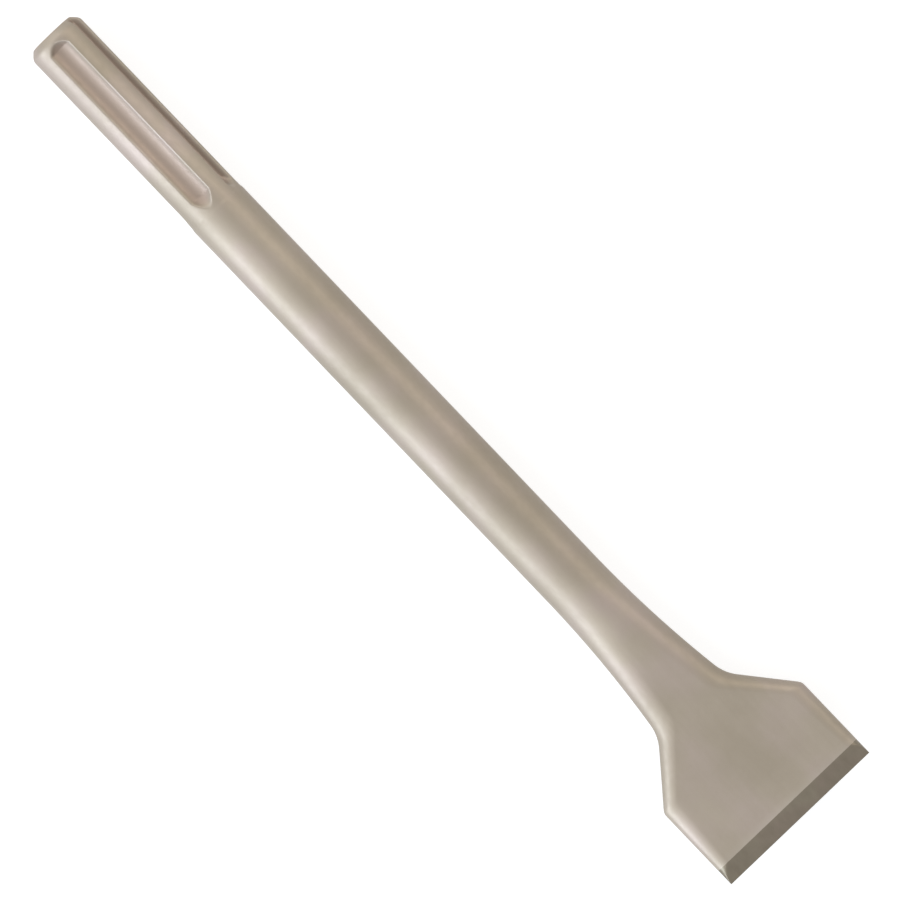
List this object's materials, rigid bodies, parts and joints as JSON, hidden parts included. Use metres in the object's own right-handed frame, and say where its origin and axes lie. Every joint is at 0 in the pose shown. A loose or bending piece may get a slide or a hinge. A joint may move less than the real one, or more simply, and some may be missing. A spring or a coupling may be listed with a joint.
{
  "type": "flat chisel",
  "caption": "Forged flat chisel for a large rotary hammer: grooved shank, round bar, and a neck flared into a wide, thin blade with a cutting edge ground on both faces.",
  "frame": {"origin": "centre of the struck end face, on the axis of the bar", "axes": "+X along the bar from the struck end to the cutting edge, +Z out of the flat of the blade, +Y across the blade"},
  "size_m": [0.3, 0.0528, 0.0184],
  "materials": {
    "forged_steel": "satin, fine blasted grain, ground on the bevels"
  },
  "bodies": {
    "root": {"chisel": "forged_steel"}
  },
  "joints": []
}
